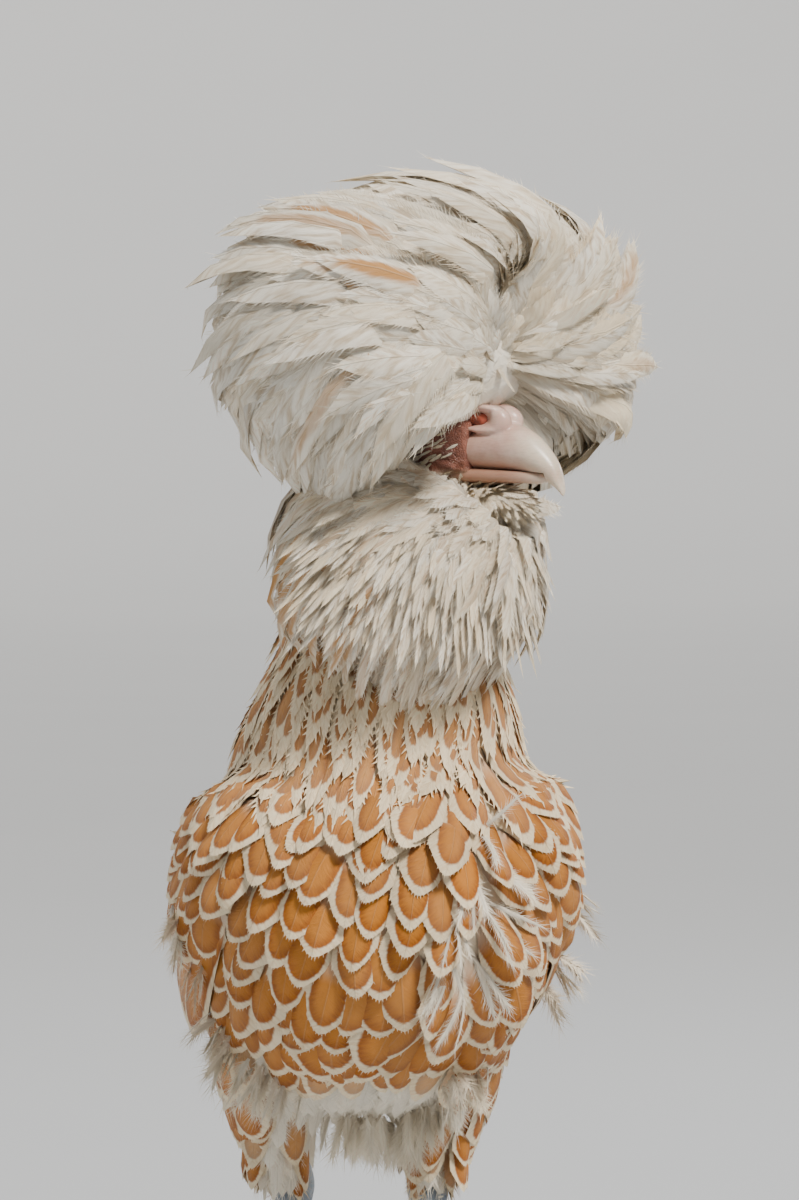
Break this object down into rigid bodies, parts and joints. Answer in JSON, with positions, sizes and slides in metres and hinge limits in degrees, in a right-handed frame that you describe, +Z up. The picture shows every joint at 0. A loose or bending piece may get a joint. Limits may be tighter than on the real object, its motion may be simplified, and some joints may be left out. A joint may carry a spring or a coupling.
{
  "type": "polish crested chicken",
  "caption": "Still, life-size crested and bearded hen standing on flat soles, head turned to its left, as a museum model",
  "frame": {"origin": "bottom centre of the whole hen's box, on the floor", "axes": "+Z up; -Y is the way the breast faces, the body being turned 10 degrees from it to the hen's left; +X is the hen's left, to which the head is turned"},
  "size_m": [0.1367, 0.2688, 0.3698],
  "materials": {
    "body_feathers": "soft orange-buff feathers with cream lacing",
    "flight_feathers": "firm buff and cream feathers",
    "crest_feathers": "silky cream-white feathers with a few buff patches",
    "face_skin": "dark reddish bare skin",
    "comb_skin": "soft red comb skin",
    "bill_horn": "pinkish-white horn, satin",
    "eye": "wet orange-brown eye with a dark pupil",
    "leg_scales": "slate-blue scales",
    "claw_horn": "pale horn"
  },
  "bodies": {
    "root": {"torso": "body_feathers", "neck": "body_feathers", "thigh_right": "body_feathers", "thigh_left": "body_feathers", "wing_right": "flight_feathers", "wing_left": "flight_feathers", "tail": "flight_feathers", "crest": "crest_feathers", "beard": "crest_feathers", "head": "face_skin", "comb": "comb_skin", "bill_upper": "bill_horn", "bill_lower": "bill_horn", "eye_right": "eye", "eye_left": "eye", "shank_right": "leg_scales", "shank_left": "leg_scales", "foot_right": "leg_scales", "foot_left": "leg_scales", "claw_right_inner": "claw_horn", "claw_right_middle": "claw_horn", "claw_right_outer": "claw_horn", "claw_right_hind": "claw_horn", "claw_left_inner": "claw_horn", "claw_left_middle": "claw_horn", "claw_left_outer": "claw_horn", "claw_left_hind": "claw_horn"}
  },
  "joints": []
}
